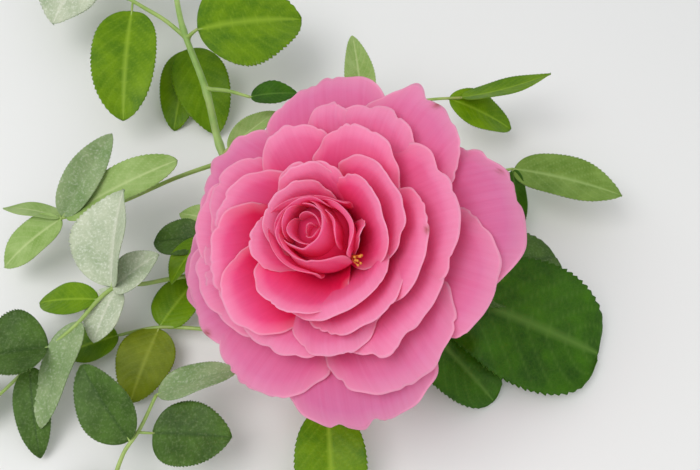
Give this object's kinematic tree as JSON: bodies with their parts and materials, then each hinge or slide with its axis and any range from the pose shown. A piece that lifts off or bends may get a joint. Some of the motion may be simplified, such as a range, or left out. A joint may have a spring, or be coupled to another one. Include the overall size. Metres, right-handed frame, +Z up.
{
  "type": "cut flowering rose branch",
  "caption": "Cut rose branch lying down: an open, many-petalled bloom on a short stalk, with serrated compound leaves along a slender cane.",
  "frame": {"origin": "middle of the footprint, on the ground that the branch lies on", "axes": "+Z up from the ground, +Y from the cut end at the front to the tip at the back, +X to the right"},
  "size_m": [0.2242, 0.2718, 0.0782],
  "materials": {
    "petal": "soft pink petals, deeper in the heart, with fine veins and pale rims",
    "cane": "smooth yellow-green young rose bark",
    "stalk": "smooth green flower stalk",
    "hip": "smooth green hip and sepals",
    "leaf_green": "mid-green leaf with sunken veins, half matt",
    "leaf_pale": "greyish silver-green leaf with a pale sheen",
    "leaf_fresh": "fresh yellow-green young leaf"
  },
  "bodies": {
    "root": {"cane_lower": "cane", "cane_upper": "cane", "flower_stalk": "stalk", "hip_with_sepals": "hip", "bloom": "petal", "leaf_upper_left": "leaf_green", "leaf_upper_right": "leaf_green", "leaf_behind_stem": "leaf_fresh", "leaf_far_left": "leaf_pale", "leaf_silver_left": "leaf_pale", "leaf_lower_left": "leaf_green", "leaf_low_left": "leaf_fresh", "leaf_near_left": "leaf_green", "leaf_right": "leaf_green", "leaf_far_right": "leaf_pale", "leaf_top_right": "leaf_fresh", "leaf_small_top": "leaf_green", "leaf_folded_top": "leaf_fresh", "leaf_bottom": "leaf_fresh", "leaf_tip": "leaf_fresh"}
  },
  "joints": []
}
